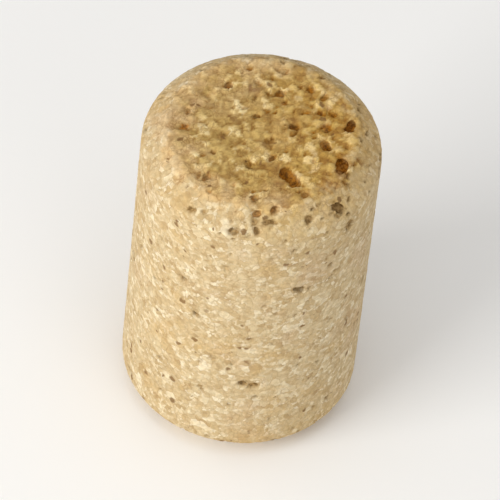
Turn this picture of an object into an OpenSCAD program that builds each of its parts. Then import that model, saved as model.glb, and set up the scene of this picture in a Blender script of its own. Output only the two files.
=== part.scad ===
// Cylindrical stopper of agglomerated cork, standing on one end.
// The body is ground from a bonded rod and bevelled at both ends,
// and the grinding has torn single granules out of its skin.

/* [Body] */
// Diameter of the straight wall
body_d = 24; // [18:0.5:32]
// Height from end to end
body_h = 38; // [26:1:55]

/* [Bevels] */
// Width that each bevel takes off the end face
bevel_w = 2.4; // [1.2:0.1:4]
// Height that each bevel takes off the wall
bevel_h = 2.4; // [1.2:0.1:4]
// Radius of the ground edges beside each bevel
edge_r = 0.8; // [0.3:0.1:1.2]

/* [Pores] */
// Pores scattered over the straight wall
wall_pores = 16; // [0:1:60]
// Pores scattered round each bevel
bevel_pores = 11; // [0:1:20]
// Pores scattered over each end face
end_pores = 14; // [0:1:24]
// Width of the narrowest pore
pore_min_w = 0.55; // [0.4:0.05:0.8]
// Width of the widest scattered pore
pore_max_w = 1.3; // [0.9:0.05:2]
// Least cork between a scattered pore and any other
pore_gap = 0.45; // [0.3:0.05:1]
// Depth of a pore as a share of its width
depth_share = 0.38; // [0.2:0.01:0.6]

/* [Scars] */
// Shallow scars to scatter over each end face, where they are clear of the pores
end_scars = 40; // [0:1:60]
// Width of the narrowest scar
scar_min_w = 1.2; // [0.8:0.1:1.6]
// Width of the widest scar
scar_max_w = 2.4; // [1.8:0.1:3]
// Depth of a scar
scar_depth = 0.2; // [0.1:0.02:0.3]

/* [Scatter] */
// Pick of the scatter
scatter_seed = 72; // [1:1:99]

/* [Hidden] */

body_r = body_d / 2;
face_r = body_r - bevel_w;
wall_h = body_h - 2 * bevel_h;
bevel_angle = atan2(bevel_h, bevel_w);

// Turn from one scattered pore to the next, which never lines up
golden_angle = 137.508;
// Share of an end face's radius that its scattered pores keep to
face_share = 0.9;
// Share of a bevel's width that its scattered pores keep clear of, at each side
bevel_share = 0.2;
// Share of the even step, and angle, by which a scattered pore strays
stray_share = 0.6;
stray_angle = 16;
// Greatest length of a scattered pore beyond its width, as a share of the width
stretch_share = 1.2;
// Corners of a pore's outline, and share of its size that a corner may lose
corner_count = 7;
loss_share = 0.5;
// Share of the tilt, either way, that would bring a pore's floor out at its rim
floor_share = 0.65;

// Separate picks for the tears, the scatter on the five faces and the two ends' scars
tear_seed = scatter_seed;
wall_seed = scatter_seed + 100;
upper_bevel_seed = scatter_seed + 200;
lower_bevel_seed = scatter_seed + 300;
upper_end_seed = scatter_seed + 400;
lower_end_seed = scatter_seed + 500;
upper_scar_seed = scatter_seed + 600;
lower_scar_seed = scatter_seed + 700;

// Angle at which an edge's circle meets the sides beside it, so that it crosses them
edge_angle = 4;

// Segments of the turned body and of its rounded edges
body_fn = 180;
edge_fn = 48;

// Tears that stand out on this stopper, each as [place, turn, width, length, lean].
// The place is a share of the end face's radius, of the bevel from wall to end, or of
// the wall's height, and the width and length are shares of the widest pore's width.
END_TEARS = [
    [0.62, -60, 1.0, 2.9, 10],
    [0.34, -70, 0.7, 1.05, 60],
    [0.89, -20, 1.1, 1.6, 100],
    [0.91, 13, 0.95, 1.5, 75],
    [0.32, 24, 0.7, 1.05, 30],
    [0.55, 78, 0.8, 1.3, 120],
    [0.80, 42, 0.7, 0.9, 0],
    [0.61, 214, 0.65, 1.1, 20],
    [0.88, -92, 0.65, 1.0, 70],
    [0.91, -57, 0.6, 0.9, 40]
];
BEVEL_TEARS = [
    [0.35, -42, 0.95, 1.25, 10],
    [0.88, -78, 0.65, 1.0, 80],
    [0.62, -68, 0.65, 1.05, 50],
    [0.80, -49, 0.65, 0.95, 40],
    [0.20, -99, 0.65, 1.0, 70],
    [0.27, -88, 0.6, 0.75, 0]
];
WALL_TEARS = [
    [0.74, -64, 0.7, 1.15, 80],
    [0.58, -113, 0.7, 0.95, 40],
    [0.45, -125, 0.6, 0.8, 0],
    [0.30, -86, 0.7, 1.0, 60]
];

// Unit vector from one point to another
function towards(a, b) = (b - a) / norm(b - a);

// What the grinding takes off corner p of the section, between its neighbours a and b.
// It is what the edge's circle leaves of a triangle that reaches beyond the corner.
module edge_waste(a, p, b) {
    u = towards(p, a);
    v = towards(p, b);
    half = acos(u * v) / 2;
    to_side = edge_r * cos(edge_angle);
    foot_u = p + u * to_side / tan(half);
    foot_v = p + v * to_side / tan(half);
    beyond = edge_r / 2;
    difference() {
        polygon([
            p - towards(p, foot_u + foot_v - p) * beyond,
            foot_u + towards(foot_v, foot_u) * beyond,
            foot_v + towards(foot_u, foot_v) * beyond
        ]);
        translate(p + (u + v) / norm(u + v) * to_side / sin(half))
            circle(edge_r, $fn = edge_fn);
    }
}

// Half section of the body, with the four edges of its bevels ground round
module half_section() {
    corners = [
        [0, 0],
        [face_r, 0],
        [body_r, bevel_h],
        [body_r, body_h - bevel_h],
        [face_r, body_h],
        [0, body_h]
    ];
    difference() {
        polygon(corners);
        for (i = [1 : 4])
            edge_waste(corners[i - 1], corners[i], corners[i + 1]);
    }
}

// Angular outline of a torn pore, longest along x
function torn_outline(w, l, seed) =
    let (pick = rands(1 - loss_share, 1, corner_count, seed))
    [
        for (i = [0 : corner_count - 1])
            let (a = 360 * i / corner_count)
            pick[i] * [cos(a) * l, sin(a) * w] / 2
    ];

// Tears of one face with their width and length in full
function full_size(tears) = [
    for (t = tears) [t[0], t[1], t[2] * pore_max_w, t[3] * pore_max_w, t[4]]
];

// Scattered pores, each drawn as [share, turn, width, length, lean]
function scatter(count, seed, min_w = pore_min_w, max_w = pore_max_w) = [
    for (i = [0 : 1 : count - 1])
        let (
            pick = rands(0, 1, 5, seed + i),
            w = min_w + (max_w - min_w) * pick[0] ^ 2
        )
        [
            (i + 0.5 + stray_share * (pick[1] - 0.5)) / count,
            i * golden_angle + seed + stray_angle * (pick[2] - 0.5),
            w,
            w + w * stretch_share * pick[3] ^ 2,
            180 * pick[4]
        ]
];

// Scattered pores spread evenly over a disc
function over_disc(list) = [
    for (p = list) [face_share * sqrt(p[0]), p[1], p[2], p[3], p[4]]
];

// Scars for one end face
function scar_scatter(seed) = over_disc(scatter(end_scars, seed, scar_min_w, scar_max_w));

// Scattered pores spread round a ring, anywhere across its width
function round_ring(list) = [
    for (p = list)
        [bevel_share + (1 - 2 * bevel_share) * p[4] / 180, 360 * p[0], p[2], p[3], 2 * p[4]]
];

// Pore set on the surface, as [centre, turn, tilt, width, length, lean, depth]. The tilt
// is from the upper end's normal down to the surface's own.
function set_pore(p, r, z, tilt, depth) =
    [[r * cos(p[1]), r * sin(p[1]), z], p[1], tilt, p[2], p[3], p[4], depth];

// Pores in the straight wall, placed by share of its height
function in_wall(list) = [
    for (p = list)
        set_pore(p, body_r, bevel_h + wall_h * p[0], 90, p[2] * depth_share)
];

// Pores in a bevel, placed by share of the way from the wall to the end
function in_bevel(list, upper) = [
    for (p = list)
        let (rise = bevel_h * (1 - p[0]))
        set_pore(
            p,
            body_r - bevel_w * p[0],
            upper ? body_h - rise : rise,
            upper ? bevel_angle : 180 - bevel_angle,
            p[2] * depth_share
        )
];

// Pores in an end face, placed by share of its radius, or scars with a depth of their own
function in_end(list, upper, depth = 0) = [
    for (p = list)
        set_pore(
            p,
            face_r * p[0],
            upper ? body_h : 0,
            upper ? 0 : 180,
            depth > 0 ? depth : p[2] * depth_share
        )
];

// Whether pore p leaves enough cork between it and every pore of a list
function is_clear(p, list) =
    len([for (q = list) if (norm(p[0] - q[0]) < (p[4] + q[4]) / 2 + pore_gap) q]) == 0;

// The kept pores, and after them those of a list that are clear of all before them
function with_clear(kept, list, i = 0) =
    i == len(list)
        ? kept
        : with_clear(is_clear(list[i], kept) ? concat(kept, [list[i]]) : kept, list, i + 1);

// Socket that torn granules left, with its floor tilted, about its place on the surface
module pore(p, seed) {
    w = p[3];
    l = p[4];
    depth = p[6];
    pick = rands(-floor_share, floor_share, 2, seed);
    translate(p[0])
        rotate([0, p[2], p[1]])
            rotate([0, 0, p[5]])
                rotate([pick[0] * atan(2 * depth / w), pick[1] * atan(2 * depth / l), 0])
                    linear_extrude(2 * depth, center = true)
                        polygon(torn_outline(w, l, seed));
}

module stopper() {
    tears = concat(
        in_end(full_size(END_TEARS), true),
        in_bevel(full_size(BEVEL_TEARS), true),
        in_wall(full_size(WALL_TEARS))
    );
    scattered = concat(
        in_end(over_disc(scatter(end_pores, upper_end_seed)), true),
        in_end(over_disc(scatter(end_pores, lower_end_seed)), false),
        in_bevel(round_ring(scatter(bevel_pores, upper_bevel_seed)), true),
        in_bevel(round_ring(scatter(bevel_pores, lower_bevel_seed)), false),
        in_wall(scatter(wall_pores, wall_seed))
    );
    scars = concat(
        in_end(scar_scatter(upper_scar_seed), true, scar_depth),
        in_end(scar_scatter(lower_scar_seed), false, scar_depth)
    );
    pores = with_clear(with_clear(tears, scattered), scars);
    color("burlywood")
        difference() {
            rotate_extrude($fn = body_fn)
                half_section();
            for (i = [0 : 1 : len(pores) - 1])
                pore(pores[i], tear_seed + i);
        }
}

stopper();
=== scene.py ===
"""Dresses the cork stopper and sets it on a pale floor.

The stopper's solid becomes a skin of bonded granules: the torn pores of the
solid stay, smaller pits and the seams between granules are sunk into the
surface, and a cork material colours granules, seams, specks and pores.
"""

import math

import bmesh
import bpy
from mathutils import Matrix, Vector, kdtree, noise


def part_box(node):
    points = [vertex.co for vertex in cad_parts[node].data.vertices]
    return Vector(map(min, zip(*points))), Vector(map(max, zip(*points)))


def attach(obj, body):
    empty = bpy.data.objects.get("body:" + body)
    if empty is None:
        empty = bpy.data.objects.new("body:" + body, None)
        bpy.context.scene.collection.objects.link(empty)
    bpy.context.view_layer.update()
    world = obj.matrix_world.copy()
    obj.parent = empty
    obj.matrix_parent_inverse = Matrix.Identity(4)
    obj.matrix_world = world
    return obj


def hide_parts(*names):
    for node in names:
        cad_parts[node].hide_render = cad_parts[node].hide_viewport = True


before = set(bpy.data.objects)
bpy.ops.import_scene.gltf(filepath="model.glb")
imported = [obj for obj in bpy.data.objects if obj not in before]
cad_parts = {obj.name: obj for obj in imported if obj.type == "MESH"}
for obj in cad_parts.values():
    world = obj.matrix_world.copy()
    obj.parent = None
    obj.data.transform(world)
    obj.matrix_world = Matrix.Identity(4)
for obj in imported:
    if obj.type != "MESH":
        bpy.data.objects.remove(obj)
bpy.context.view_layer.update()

MM = 0.001
STOPPER = "stopper"
BEVEL = 2.4              # mm, width and height of the bevel round each end
NOISE_SEED = 7           # without a seed of its own the noise differs in each run
noise.seed_set(NOISE_SEED)


def colour(red, green, blue):
    """A linear colour from the 0 to 255 values it shows on a screen."""
    parts = [value / 255 for value in (red, green, blue)]
    linear = [p / 12.92 if p <= 0.04045 else ((p + 0.055) / 1.055) ** 2.4 for p in parts]
    return (*linear, 1.0)


def ease(value, low, high):
    """0 at low, 1 at high, and a smooth step between."""
    share = min(max((value - low) / (high - low), 0.0), 1.0)
    return share * share * (3 - 2 * share)


# The skin, with its sizes in mm

MERGE_WITHIN = 0.0005    # distance within which the solid's loose corners are joined
VOXEL = 0.22             # spacing of the skin's points
FACE_DEPTH = 0.3         # how far in from an end face a point still lies wholly on it
SIDE_SHARES = (0.0, 1.0, 0.5)    # lean of the wall, an end face and a bevel
UNFOLD_PAST = -0.6       # cosine to its side of the body below which a face is a fold
UNFOLD_ROUNDS = 5        # rounds of easing that the folds get
UNFOLD_SHARE = 0.5       # share of the way to its neighbours that a point moves in each

# Granules, whose borders sway so that they run crooked
GRANULE = 0.85
FINE_GRANULE = 0.45
SWAY = 0.35
SWAY_WAVES = 0.9         # per mm
FINE_SWAY = 0.16
FINE_SWAY_WAVES = 2.3    # per mm

# What is sunk at full roughness: seams, and each granule by a share of its own
SEAM_DEPTH = 0.06
STEP_DEPTH = 0.06
FINE_SEAM_DEPTH = 0.03
SEAM_REACH = 0.33        # how far a seam reaches in, as a share of its granule
FINE_SEAM_REACH = 0.35
WALL_ROUGHNESS = 0.45
END_ROUGHNESS = 1.1      # what an end face adds

# Sockets of single granules that have been torn out, in two sizes. A share of the wall's
# granules is gone, and more of them at the rim between wall and bevel and on the ends.
SMALL_SOCKET = 0.62
SMALL_DEPTH = 0.24
SMALL_SHARE = 0.03
SMALL_SHARE_RIM = 0.1
SMALL_SHARE_END = 0.07
LARGE_SOCKET = 1.15
LARGE_DEPTH = 0.4
LARGE_SHARE = 0.008
LARGE_SHARE_END = 0.06
SHALLOWEST = 0.45        # share of the full depth that the shallowest socket has
SOCKET_WALL = (0.03, 0.32)   # where its wall starts and ends, as shares of a granule
RIM_REACH = 1.6          # how far from the rim's middle its share ends
RIM_SHIFT = 0.3          # how far that middle lies from the edge, towards the end face
LEAST_TORN = 0.35        # factor on what the rim and the end faces add, at -X
MORE_TORN = 1.0          # how much greater that factor is at +X
TORN_REACH = 7.0         # how far from the axis, both ways, it goes on changing

# The solid's own torn pores: their broken lips, uneven floors and crooked outlines
PORE_DEPTH = 0.2         # past which a point lies in such a pore
LIP_DEPTH = 0.3
LIP_START = 0.06         # how far from a pore its lip is sunk in full
LIP_NEAR = 0.1           # how far from a pore the narrowest lip ends
LIP_SPREAD = 0.75        # how much farther the widest lip ends
LIP_POWER = 1.5          # above 1, so that narrow lips are more common than wide ones
FLOOR_DEPTH = 0.26
FLOOR_RAISED = 0.35      # share of that depth by which a floor may rise instead
FLOOR_START = (0.12, 0.3)    # depths between which a pore's floor begins
SLIDE = 0.3
SLIDE_WAVES = 0.9        # per mm
SLIDE_FADE = (0.5, 1.6)  # how far from a pore the slide starts to fade, and ends

# Depths between which each kind of hollow turns to the colour of a torn pore
PORE_COLOURS = (0.08, 0.4)
SMALL_COLOURS = (0.04, 0.24)
LARGE_COLOURS = (0.04, 0.34)
LIP_COLOURS = (0.05, 0.3)
LIP_MOST = 0.6           # share of that colour that a lip has at most

# Where each of these patterns reads the noise, so that no two line up
FINE_SHIFT = Vector((3.1, 7.7, 1.9))
SMALL_SHIFT = Vector((1.3, 5.2, 2.4))
LARGE_SHIFT = Vector((5.5, 2.2, 8.8))
SLIDE_SHIFT = Vector((4.4, 6.1, 2.7))


def merged_copy(node, name):
    """A new object from a copy of a CAD node's mesh, with its doubles merged."""
    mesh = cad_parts[node].data.copy()
    mesh.name = name
    mesh.materials.clear()
    shape = bmesh.new()
    shape.from_mesh(mesh)
    bmesh.ops.remove_doubles(shape, verts=shape.verts, dist=MERGE_WITHIN * MM)
    shape.to_mesh(mesh)
    shape.free()
    piece = bpy.data.objects.new(name, mesh)
    bpy.context.scene.collection.objects.link(piece)
    return piece


def remesh(piece, voxel):
    """Gives the piece evenly spaced points and bakes that into its mesh."""
    modifier = piece.modifiers.new("even points", "REMESH")
    modifier.mode = "VOXEL"
    modifier.voxel_size = voxel * MM
    modifier.use_smooth_shade = True
    bpy.context.view_layer.update()
    seen = piece.evaluated_get(bpy.context.evaluated_depsgraph_get())
    mesh = bpy.data.meshes.new_from_object(seen)
    piece.modifiers.clear()
    piece.data = mesh
    mesh.name = piece.name


class Body:
    """The stopper's ideal turned shape, which its pores are sunk into."""

    def __init__(self, node):
        low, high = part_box(node)
        self.radius = (high[0] - low[0]) / 2 / MM
        self.height = (high[2] - low[2]) / MM

    def to_end(self, z):
        """How far a height lies from that of the nearer end face."""
        return min(z, self.height - z)

    def inside(self, x, y, z):
        """How far a point lies inside the wall, the nearer end face and its bevel."""
        to_wall = self.radius - math.hypot(x, y)
        to_end = self.to_end(z)
        return to_wall, to_end, (to_wall + to_end - BEVEL) / math.sqrt(2)

    def depth(self, x, y, z):
        """How far a point lies inside the turned shape."""
        return min(self.inside(x, y, z))

    def past_end(self, x, y, z):
        """How far a point lies beyond the edge of an end face, below 0 on that face."""
        _, to_end, to_bevel = self.inside(x, y, z)
        return to_end - max(to_bevel, 0.0)

    def rim_share(self, z):
        """1 at the rim, near the edge between wall and bevel, and down to 0 beside it."""
        return ease(1 - abs(self.to_end(z) - BEVEL + RIM_SHIFT) / RIM_REACH, 0.0, 1.0)

    def end_share(self, z):
        """1 on an end face, 0 on the wall, and between the two on a bevel."""
        return 1 - ease(self.to_end(z), FACE_DEPTH, BEVEL)

    def leaning(self, x, y, z, share):
        """The direction out from a point, from level at share 0 to along the axis at 1."""
        level = Vector((x, y, 0)).normalized()
        up = math.copysign(share, z - self.height / 2)
        return (level * (1 - share) + Vector((0, 0, up))).normalized()

    def outward(self, x, y, z):
        """The direction that the turned shape faces at a point, smooth over its edges."""
        return self.leaning(x, y, z, self.end_share(z))

    def facing(self, x, y, z):
        """The direction of the wall, end face or bevel that is nearest to a point."""
        inside = self.inside(x, y, z)
        return self.leaning(x, y, z, SIDE_SHARES[inside.index(min(inside))])


def pick_at(point):
    """A fixed random value from 0 to 1 for the granule at a point."""
    return 0.5 + 0.5 * noise.cell(point)


def swayed(place):
    """A place moved a little, so that the granules there have crooked borders."""
    coarse = noise.noise_vector(place * SWAY_WAVES) * SWAY
    fine = noise.noise_vector(place * FINE_SWAY_WAVES) * FINE_SWAY
    return place + (coarse + fine)


def granule(place, size):
    """The random value of the granule at a place, and how far inside it the place is."""
    distances, points = noise.voronoi(place / size)
    return pick_at(points[0]), distances[1] - distances[0]


def socket(place, size, share, depth):
    """Depth of the socket at a place, where a share of the granules has been torn out."""
    pick, inside = granule(place, size)
    if pick > share:
        return 0.0
    return depth * (SHALLOWEST + (1 - SHALLOWEST) * pick / share) * ease(inside, *SOCKET_WALL)


def torn_out(place, bent, body):
    """Depths of the small and of the large socket at a place."""
    end = body.end_share(place.z)
    rim = body.rim_share(place.z)
    side = LEAST_TORN + MORE_TORN * ease(place.x, -TORN_REACH, TORN_REACH)
    small_share = SMALL_SHARE + (SMALL_SHARE_END * end + SMALL_SHARE_RIM * rim) * side
    large_share = LARGE_SHARE + LARGE_SHARE_END * end * side
    return (socket(bent + SMALL_SHIFT, SMALL_SOCKET, small_share, SMALL_DEPTH),
            socket(bent + LARGE_SHIFT, LARGE_SOCKET, large_share, LARGE_DEPTH))


def deep_points(mesh, body):
    """A search tree of the skin's points that lie in the solid's torn pores."""
    deep = [v.co / MM for v in mesh.vertices if body.depth(*(v.co / MM)) > PORE_DEPTH]
    tree = kdtree.KDTree(len(deep))
    for i, point in enumerate(deep):
        tree.insert(point, i)
    tree.balance()
    return tree


def broken_lip(to_pore, pick):
    """Depth of a granule that broke away at the lip of one of the solid's pores."""
    reach = LIP_NEAR + LIP_SPREAD * pick ** LIP_POWER
    return LIP_DEPTH * (1 - ease(to_pore, LIP_START, reach))


def uneven_floor(sunk, pick):
    """Depth that a granule adds to the floor of one of the solid's pores."""
    return FLOOR_DEPTH * ease(sunk, *FLOOR_START) * (pick - FLOOR_RAISED)


def slid(place, to_pore, body):
    """A slide along the surface, which gives the solid's pores crooked outlines."""
    slide = noise.noise_vector(place * SLIDE_WAVES + SLIDE_SHIFT) * SLIDE
    slide *= 1 - ease(to_pore, *SLIDE_FADE)
    outward = body.outward(*place)
    return slide - outward * slide.dot(outward)


def torn_share(sunk, small, large, lip):
    """How much of a pore, a socket or a broken lip a point belongs to."""
    return max(ease(sunk, *PORE_COLOURS), ease(small, *SMALL_COLOURS),
               ease(large, *LARGE_COLOURS), LIP_MOST * ease(lip, *LIP_COLOURS))


def granulate(piece, body):
    """Sinks seams, granules and sockets into the skin, and notes what it sank."""
    mesh = piece.data
    pores = deep_points(mesh, body)
    normals = [v.normal.copy() for v in mesh.vertices]
    notes = {"torn": [], "seam": [], "tone": [], "past_end": []}
    for vertex, normal in zip(mesh.vertices, normals):
        place = vertex.co / MM
        bent = swayed(place)
        tone, inside = granule(bent, GRANULE)
        fine_tone, fine_inside = granule(bent + FINE_SHIFT, FINE_GRANULE)
        seam = 1 - ease(inside, 0.0, SEAM_REACH)
        fine_seam = 1 - ease(fine_inside, 0.0, FINE_SEAM_REACH)
        rough = WALL_ROUGHNESS + END_ROUGHNESS * body.end_share(place.z)
        sink = rough * (SEAM_DEPTH * seam + STEP_DEPTH * tone + FINE_SEAM_DEPTH * fine_seam)
        small, large = torn_out(place, bent, body)
        to_pore = pores.find(place)[2]
        lip = broken_lip(to_pore, fine_tone)
        floor = uneven_floor(body.depth(*place), fine_tone)
        vertex.co += slid(place, to_pore, body) * MM
        # A slide over a round edge may lift a point off the body, so it is sunk again
        sunk = body.depth(*(vertex.co / MM))
        vertex.co -= normal * (sink + max(small, large, lip) + floor + max(-sunk, 0.0)) * MM
        notes["torn"].append(torn_share(sunk, small, large, lip))
        notes["seam"].append(seam)
        notes["tone"].append(tone)
        notes["past_end"].append(body.past_end(*place))
    for name, values in notes.items():
        mesh.attributes.new(name, "FLOAT", "POINT").data.foreach_set("value", values)
    mesh.update()


def unfold(piece, body):
    """Eases the few places where the sinking folded the skin over itself."""
    shape = bmesh.new()
    shape.from_mesh(piece.data)
    facing = [body.facing(*(face.calc_center_median() / MM)) for face in shape.faces]
    for _ in range(UNFOLD_ROUNDS):
        shape.normal_update()
        folded = {vert.index for face, outward in zip(shape.faces, facing)
                  if face.normal.dot(outward) < UNFOLD_PAST for vert in face.verts}
        bmesh.ops.smooth_vert(shape, verts=[v for v in shape.verts if v.index in folded],
                              factor=UNFOLD_SHARE, use_axis_x=True, use_axis_y=True,
                              use_axis_z=True)
    shape.to_mesh(piece.data)
    shape.free()


# The material

# Tones of the granules from dark to pale, each as its place from 0 to 1 and its colour
WALL_TONES = [
    (0.0, colour(188, 159, 113)), (0.22, colour(206, 180, 134)), (0.62, colour(217, 195, 153)),
    (0.82, colour(230, 211, 172)), (1.0, colour(242, 227, 194))]
SOUND_END_TONES = [
    (0.0, colour(138, 100, 42)), (0.25, colour(190, 156, 88)), (0.7, colour(220, 187, 116)),
    (0.85, colour(243, 215, 150)), (1.0, colour(254, 234, 178))]
TORN_END_TONES = [
    (0.0, colour(132, 80, 12)), (0.25, colour(186, 140, 60)), (0.62, colour(209, 171, 91)),
    (0.8, colour(232, 196, 123)), (1.0, colour(250, 220, 160))]

STAIN = colour(214, 178, 106)
# Paler rim of an end face: partly its worn edge, partly a painted highlight where the rounded rim
# faces the lamp on the left
WORN_AND_LIT_RIM = colour(238, 202, 146)
OCHRE = colour(208, 170, 105)
PINKER_TAN = colour(212, 180, 146)
WALL_SEAM = colour(170, 134, 88)
END_SEAM = colour(138, 92, 38)
BARK = colour(126, 92, 52)

# Insides of pores, each as its dark and its pale crumbs
WALL_PORE = (colour(108, 80, 40), colour(174, 140, 90))
END_PORE = (colour(102, 54, 2), colour(176, 110, 24))

# Sizes of the patterns, per mm
COARSE_PATTERN = 1.15
FINE_PATTERN = 2.2
BARK_PATTERN = 1.1
SIZE_PATCHES = 0.5       # where granules are coarse and where fine
BORDER_SWAYS = 1.5
RAGGED_EDGE = 0.7
OCHRE_PATCHES = 0.23
PINK_PATCHES = 0.2
MOTTLE = 2.6
SEAM_GAPS = 0.8
CRUMBS = 2.8
CUT_CELLS = 7.0

# Where two of them read the noise, so that they don't line up with the others
PINK_SHIFT = (31.0, 17.0, 5.0)
BARK_SHIFT = (7.0, 3.0, 11.0)

# Reaches in mm, with those of an end face measured outwards from its edge
RAGGED = 0.8             # how far that edge strays
END_FADE = (-0.7, 1.0)   # where its colours give way to the wall's
WORN_AND_LIT_FADE = (-2.2, -0.1)     # where its paler rim, partly wear and partly a painted highlight, starts and is palest
STAIN_REACH = 4.5        # where its stain on the wall ends
TORN_SIDE = (-5.0, 8.0)  # places along X between which the sound side turns to the torn
BORDER_SWAY = 0.8
RELIEF = 0.06            # height of the fine relief

# Shares of each layer's colour, from least to most or from the sound to the torn side
STAIN_SHARES = (0.08, 0.45)
# Shares of the paler rim, partly wear and partly a painted highlight, strongest on the sound side
# at -X, which faces the key lamp
WORN_AND_LIT_SHARES = (0.75, 0.1)
OCHRE_SHARES = (0.0, 0.42)
PINK_SHARES = (0.0, 0.3)
SEAM_SHARES = (0.1, 0.6)
SUNK_SEAM_SHARES = (0.16, 0.4)   # on the wall and on an end face
BARK_SHARE = 0.85
PORE_SHARE = 0.85
OWN_TONE_SHARE = 0.2     # of the pattern's tone on an end face, beside the skin's own, which also set each granule's height, so raised granules are painted paler and sunk ones darker
MOTTLE_FACTORS = (0.86, 1.08)

# Specks of bark: the picks past which a granule has one, its radius as a share of the
# granule, and the share of that radius where it starts to fade
BARK_PICKS = (0.9, 0.92)
BARK_RADII = (0.16, 0.5)
BARK_FADE = 0.55

SEAM_FADE = 0.09         # distance over which a seam fades, as a share of a granule

# Weights in the fine relief, below 0 where something is sunk
SEAM_RELIEF = -0.5
CUT_RELIEF = 0.6
BARK_RELIEF = -0.5
CRUMB_RELIEF = 2.8

ROUGHNESS = (0.78, 0.95)
SHEEN = (0.3, 0.03)      # on sound cork and on the crumbly insides of pores


class Nodes:
    """Short ways to make and join the nodes of one material."""

    def __init__(self, name):
        self.material = bpy.data.materials.new(name)
        self.material.use_nodes = True
        self.tree = self.material.node_tree
        self.tree.nodes.clear()

    def make(self, kind, inputs=None, **settings):
        """A node with its settings, and its inputs set or joined."""
        made = self.tree.nodes.new("ShaderNode" + kind)
        for name, value in settings.items():
            setattr(made, name, value)
        for key, value in (inputs or {}).items():
            if isinstance(value, bpy.types.NodeSocket):
                self.tree.links.new(value, made.inputs[key])
            else:
                made.inputs[key].default_value = value
        return made

    def own(self, name):
        """A value that the skin holds at its points."""
        return self.make("Attribute", attribute_name=name).outputs["Fac"]

    def math(self, operation, first, second):
        """The result of a sum on two values."""
        return self.make("Math", {0: first, 1: second}, operation=operation).outputs[0]

    def moved(self, place, offset, operation="ADD"):
        """A place with an offset added to it, or taken from it."""
        return self.make("VectorMath", {0: place, 1: offset}, operation=operation).outputs[0]

    def scaled(self, place, scale):
        """A place or offset times a scale."""
        return self.make("VectorMath", {0: place, "Scale": scale}, operation="SCALE").outputs[0]

    def fade(self, value, low, high, start=0.0, stop=1.0):
        """The value mapped smoothly from low..high to start..stop."""
        return self.make("MapRange", {"Value": value, "From Min": low, "From Max": high,
                                      "To Min": start, "To Max": stop},
                         interpolation_type="SMOOTHSTEP").outputs[0]

    def between(self, share, first, second):
        """Two values mixed by a share."""
        return self.make("Mix", {0: share, 2: first, 3: second}).outputs[0]

    def blend(self, share, first, second, how="MIX"):
        """Two colours mixed by a share."""
        return self.make("Mix", {0: share, 6: first, 7: second}, data_type="RGBA",
                         blend_type=how).outputs[2]

    def ramp(self, value, stops):
        """A colour ramp with the given places and colours."""
        made = self.make("ValToRGB", {0: value})
        marks = made.color_ramp.elements
        while len(marks) < len(stops):
            marks.new(0.5)
        for mark, (place, shade) in zip(marks, stops):
            mark.position = place
            mark.color = shade
        return made.outputs[0]

    def clouds(self, place, scale, detail=2.0, roughness=0.5):
        """A noise pattern, mostly between 0.3 and 0.7: its node, for both of its outputs."""
        return self.make("TexNoise", {"Vector": place, "Scale": scale, "Detail": detail,
                                      "Roughness": roughness})

    def cells(self, place, scale, feature="F1"):
        """A cell pattern: its node, for all of its outputs."""
        return self.make("TexVoronoi", {"Vector": place, "Scale": scale}, feature=feature)

    def split(self, shade):
        """The three values that a colour is made of."""
        return self.make("SeparateColor", {0: shade}).outputs


def end_edge(n, place):
    """How far a point lies past an end face's ragged edge, and how much of that face it is."""
    clouds = n.clouds(place, RAGGED_EDGE, 3.0).outputs[0]
    past_rim = n.math("ADD", n.own("past_end"), n.fade(clouds, 0.3, 0.7, -RAGGED, RAGGED))
    return past_rim, n.fade(past_rim, *END_FADE, 1.0, 0.0)


def swaying(n, place):
    """The place moved a little, so that the granules there have crooked outlines."""
    sway = n.clouds(place, BORDER_SWAYS, 3.0).outputs["Color"]
    centred = n.moved(sway, (0.5, 0.5, 0.5), "SUBTRACT")
    return n.moved(place, n.scaled(centred, BORDER_SWAY))


def granules(n, place, bent):
    """The tone and the seams of granules in two sizes, which take turns by place."""
    tones, seams = [], []
    for scale in (COARSE_PATTERN, FINE_PATTERN):
        tones.append(n.split(n.cells(bent, scale).outputs["Color"])[0])
        to_edge = n.cells(bent, scale, "DISTANCE_TO_EDGE").outputs["Distance"]
        seams.append(n.fade(to_edge, 0.0, SEAM_FADE, 1.0, 0.0))
    size = n.fade(n.clouds(place, SIZE_PATCHES).outputs[0], 0.35, 0.6)
    return n.between(size, *tones), n.between(size, *seams)


def wall_shade(n, tone, past_rim, torn_side):
    """Pale ground granules, with the stain of the end face, which thins out over the bevel."""
    stain = n.math("MULTIPLY", n.fade(past_rim, 0.0, STAIN_REACH, 1.0, 0.0),
                   n.fade(torn_side, 0.0, 0.6, *STAIN_SHARES))
    return n.blend(stain, n.ramp(tone, WALL_TONES), STAIN)


def end_shade(n, tone, past_rim, torn_side):
    """Browner granules, painted paler where raised and darker where sunk, and a paler rim on the
    sound side: partly wear, partly a painted highlight.
    """
    # The skin's own granule tone also sank each granule, so its reverse paints raised granules
    # paler and sunk ones darker: painted light and shade on the relief, beside each granule's own
    # random tone
    raised = n.math("SUBTRACT", 1.0, n.own("tone"))
    tone_and_relief_shade = n.between(OWN_TONE_SHARE, raised, tone)
    shade = n.blend(torn_side, n.ramp(tone_and_relief_shade, SOUND_END_TONES), n.ramp(tone_and_relief_shade, TORN_END_TONES))
    # The paler rim is partly wear and partly a painted highlight, strongest on the sound side,
    # which faces the key lamp
    worn_and_lit = n.math("MULTIPLY", n.fade(past_rim, *WORN_AND_LIT_FADE),
                  n.fade(torn_side, 0.0, 0.9, *WORN_AND_LIT_SHARES))
    return n.blend(worn_and_lit, shade, WORN_AND_LIT_RIM)


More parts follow.
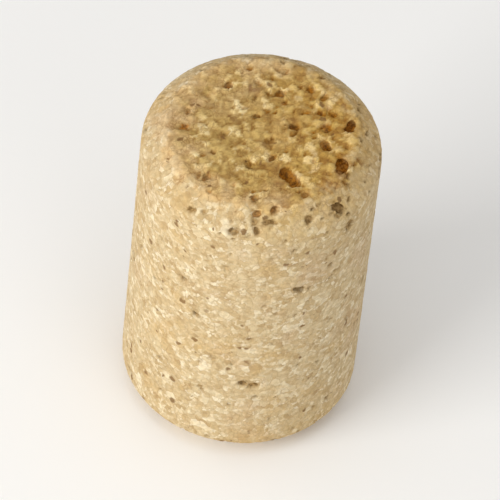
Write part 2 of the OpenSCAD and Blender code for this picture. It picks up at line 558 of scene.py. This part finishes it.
def patched(n, shade, place):
    """The shade with wide patches of ochre and of a pinker tan, and a fine mottle."""
    ochre = n.fade(n.clouds(place, OCHRE_PATCHES).outputs[0], 0.5, 0.72, *OCHRE_SHARES)
    shade = n.blend(ochre, shade, OCHRE)
    clouds = n.clouds(n.moved(place, PINK_SHIFT), PINK_PATCHES).outputs[0]
    shade = n.blend(n.fade(clouds, 0.52, 0.75, *PINK_SHARES), shade, PINKER_TAN)
    mottle = n.fade(n.clouds(place, MOTTLE, 4.0, 0.6).outputs[0], 0.3, 0.7, *MOTTLE_FACTORS)
    grey = n.make("CombineColor", {0: mottle, 1: mottle, 2: mottle}).outputs[0]
    return n.blend(1.0, shade, grey, "MULTIPLY")


def bark_specks(n, bent):
    """How much of a speck of bark a point is. One granule in ten has such a speck."""
    speck = n.cells(n.moved(bent, BARK_SHIFT), BARK_PATTERN)
    picks = n.split(speck.outputs["Color"])
    chosen = n.fade(picks[1], *BARK_PICKS)
    reach = n.fade(picks[0], 0.0, 1.0, *BARK_RADII)
    out = n.math("DIVIDE", speck.outputs["Distance"], reach)
    return n.math("MULTIPLY", chosen, n.fade(out, BARK_FADE, 1.0, 1.0, 0.0))


def pore_shade(n, crumbs, on_end):
    """The crumbly inside of a torn pore, browner on the end faces."""
    crumb = n.fade(crumbs, 0.36, 0.64)
    return n.blend(on_end, n.blend(crumb, *WALL_PORE), n.blend(crumb, *END_PORE))


def fine_relief(n, cut, seam, bark, torn, crumbs):
    """The surface's direction, changed by seams, cut cells, specks and pores' insides."""
    relief = n.math("ADD", n.math("MULTIPLY", seam, SEAM_RELIEF),
                    n.math("MULTIPLY", cut, CUT_RELIEF))
    relief = n.math("ADD", relief, n.math("MULTIPLY", bark, BARK_RELIEF))
    crumbs = n.math("MULTIPLY", crumbs, CRUMB_RELIEF)
    relief = n.math("ADD", relief, n.math("MULTIPLY", torn, crumbs))
    return n.make("Bump", {"Height": relief, "Strength": 0.7, "Distance": RELIEF * MM}).outputs[0]


def bonded_cork():
    """Pale ground cork: granules, their seams, dark specks and torn pores."""
    n = Nodes("bonded cork")
    place = n.scaled(n.make("TexCoord").outputs["Object"], 1 / MM)
    x = n.make("SeparateXYZ", {0: place}).outputs[0]
    past_rim, on_end = end_edge(n, place)
    torn_side = n.fade(x, *TORN_SIDE)
    bent = swaying(n, place)
    tone, seam = granules(n, place, bent)
    bark = bark_specks(n, bent)
    torn = n.own("torn")
    crumbs = n.clouds(place, CRUMBS, 2.0, 0.6).outputs[0]
    cut = n.clouds(place, CUT_CELLS, 3.0, 0.6).outputs[0]

    shade = n.blend(on_end, wall_shade(n, tone, past_rim, torn_side),
                    end_shade(n, tone, past_rim, torn_side))
    shade = patched(n, shade, place)
    # Seams that fade in and out, bark, and then what the skin itself has sunk
    seam_tint = n.blend(on_end, WALL_SEAM, END_SEAM)
    gaps = n.fade(n.clouds(place, SEAM_GAPS, 3.0).outputs[0], 0.38, 0.62, *SEAM_SHARES)
    shade = n.blend(n.math("MULTIPLY", seam, gaps), shade, seam_tint)
    shade = n.blend(n.math("MULTIPLY", bark, BARK_SHARE), shade, BARK)
    sunk_share = n.fade(on_end, 0.0, 1.0, *SUNK_SEAM_SHARES)
    shade = n.blend(n.math("MULTIPLY", n.own("seam"), sunk_share), shade, seam_tint)
    shade = n.blend(n.math("MULTIPLY", torn, PORE_SHARE), shade, pore_shade(n, crumbs, on_end))

    cork = n.make("BsdfPrincipled", {
        "Base Color": shade,
        "Roughness": n.fade(cut, 0.3, 0.7, *ROUGHNESS),
        "Normal": fine_relief(n, cut, seam, bark, torn, crumbs),
        "Specular IOR Level": n.fade(torn, 0.0, 0.5, *SHEEN)})
    n.make("OutputMaterial", {0: cork.outputs[0]})
    return n.material


# The scene

FLOOR_REACH = 3.0        # m, from the stopper to each side of the floor
PALE_PAINT = colour(250, 249, 247)
WORLD_STRENGTH = 0.5
CAMERA_ELEVATION = 51.5  # degrees above the horizon, as in the photograph
CAMERA_ROLL = 6.5        # degrees
CAMERA_DISTANCE = 0.7    # m
LENS = 500               # mm
SENSOR = 36              # mm


def pale_floor():
    """A wide plain floor under the stopper."""
    mesh = bpy.data.meshes.new("floor")
    shape = bmesh.new()
    bmesh.ops.create_grid(shape, x_segments=1, y_segments=1, size=FLOOR_REACH)
    shape.to_mesh(mesh)
    shape.free()
    floor = bpy.data.objects.new("floor", mesh)
    bpy.context.scene.collection.objects.link(floor)
    n = Nodes("pale floor")
    paint = n.make("BsdfPrincipled", {"Base Color": PALE_PAINT, "Roughness": 0.9,
                                      "Specular IOR Level": 0.2})
    n.make("OutputMaterial", {0: paint.outputs[0]})
    mesh.materials.append(n.material)


def point_at(thing, place, target, roll=0.0):
    """Puts a lamp or camera at a place, looking at a target, and rolls it."""
    look = (target - place).to_track_quat("-Z", "Y").to_matrix().to_4x4()
    thing.matrix_world = Matrix.Translation(place) @ look @ Matrix.Rotation(roll, 4, "Z")


def around(target, azimuth, elevation, distance):
    """The place seen from a target at an azimuth from the front and an elevation."""
    a, e = math.radians(azimuth), math.radians(elevation)
    level = Vector((math.sin(a), -math.cos(a), 0)) * math.cos(e)
    return target + distance * (level + Vector((0, 0, math.sin(e))))


def lamp(name, azimuth, elevation, distance, size, power, tint):
    """A soft square lamp aimed at the stopper."""
    light = bpy.data.lights.new(name, "AREA")
    light.size = size
    light.energy = power
    light.color = tint
    thing = bpy.data.objects.new(name, light)
    bpy.context.scene.collection.objects.link(thing)
    point_at(thing, around(MIDDLE, azimuth, elevation, distance), MIDDLE)


def soft_light():
    """Three lamps, with most of the light from the left, in a pale world."""
    lamp("key lamp", azimuth=-52, elevation=26, distance=0.6, size=0.35, power=2.4,
         tint=(1.0, 0.995, 0.98))
    lamp("fill lamp", azimuth=35, elevation=25, distance=0.7, size=0.5, power=0.5,
         tint=(0.97, 0.99, 1.0))
    lamp("top lamp", azimuth=0, elevation=80, distance=0.7, size=0.5, power=0.85,
         tint=(1.0, 1.0, 1.0))
    world = bpy.data.worlds.new("pale room")
    world.use_nodes = True
    sky = world.node_tree.nodes["Background"]
    sky.inputs["Color"].default_value = (1.0, 1.0, 1.0, 1.0)
    sky.inputs["Strength"].default_value = WORLD_STRENGTH
    bpy.context.scene.world = world


def set_camera():
    """The camera, at the photograph's angle."""
    camera = bpy.data.cameras.new("camera")
    camera.lens = LENS
    camera.sensor_width = SENSOR
    camera.clip_start = 0.01
    thing = bpy.data.objects.new("camera", camera)
    bpy.context.scene.collection.objects.link(thing)
    place = around(MIDDLE, 0, CAMERA_ELEVATION, CAMERA_DISTANCE)
    point_at(thing, place, MIDDLE, math.radians(CAMERA_ROLL))
    bpy.context.scene.camera = thing


body = Body(STOPPER)
MIDDLE = Vector((0, 0, body.height / 2)) * MM

skin = merged_copy(STOPPER, "cork_skin")
remesh(skin, VOXEL)
granulate(skin, body)
unfold(skin, body)
skin.data.materials.append(bonded_cork())
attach(skin, "root")
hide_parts(STOPPER)

pale_floor()
soft_light()
set_camera()
bpy.context.scene.view_settings.view_transform = "Standard"
